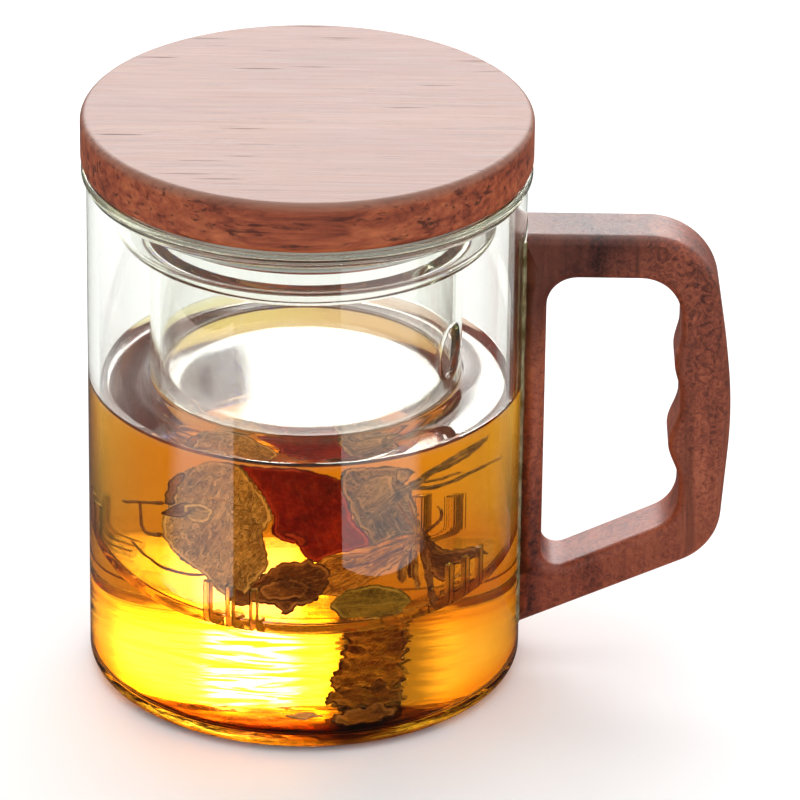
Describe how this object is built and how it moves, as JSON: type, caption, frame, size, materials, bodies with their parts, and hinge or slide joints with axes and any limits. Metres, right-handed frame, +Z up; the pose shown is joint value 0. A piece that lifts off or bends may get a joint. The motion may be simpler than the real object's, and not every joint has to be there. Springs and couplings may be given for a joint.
{
  "type": "lidded tea mug with infuser",
  "caption": "Straight clear glass tea mug with a looped wooden handle, a lift-out glass infuser with saw-cut strainer slots, and a lift-off wooden lid with a silicone seal.",
  "frame": {"origin": "centre of the mug's foot, on the surface it stands on", "axes": "+Z up along the mug's axis, +X from the axis towards the handle"},
  "size_m": [0.1264, 0.0872, 0.1166],
  "materials": {
    "mug_glass": "clear borosilicate glass, fire-polished rim",
    "infuser_glass": "clear borosilicate glass, saw-cut slots",
    "handle_wood": "reddish brown hardwood, fine mottled grain, satin oiled",
    "lid_wood": "reddish brown hardwood, straight grain across the top, satin oiled",
    "seal_silicone": "translucent milky silicone",
    "clear_bond": "clear cured adhesive"
  },
  "bodies": {
    "mug": {"mug_glass": "mug_glass", "handle": "handle_wood", "handle_bond": "clear_bond"},
    "infuser": {"infuser": "infuser_glass"},
    "seal": {"lid_seal": "seal_silicone"},
    "lid": {"lid": "lid_wood"}
  },
  "joints": [
    {"name": "infuser_lift", "type": "slide", "parent": "mug", "child": "infuser", "axis": [0, 0, 1], "range_m": [0, 0.095]},
    {"name": "lid_lift", "type": "slide", "parent": "infuser", "child": "seal", "axis": [0, 0, 1], "range_m": [0, 0.06]},
    {"name": "lid_turn", "type": "hinge", "parent": "seal", "child": "lid", "pos_m": [0, 0, 0.102], "axis": [0, 0, 1], "continuous": true}
  ]
}
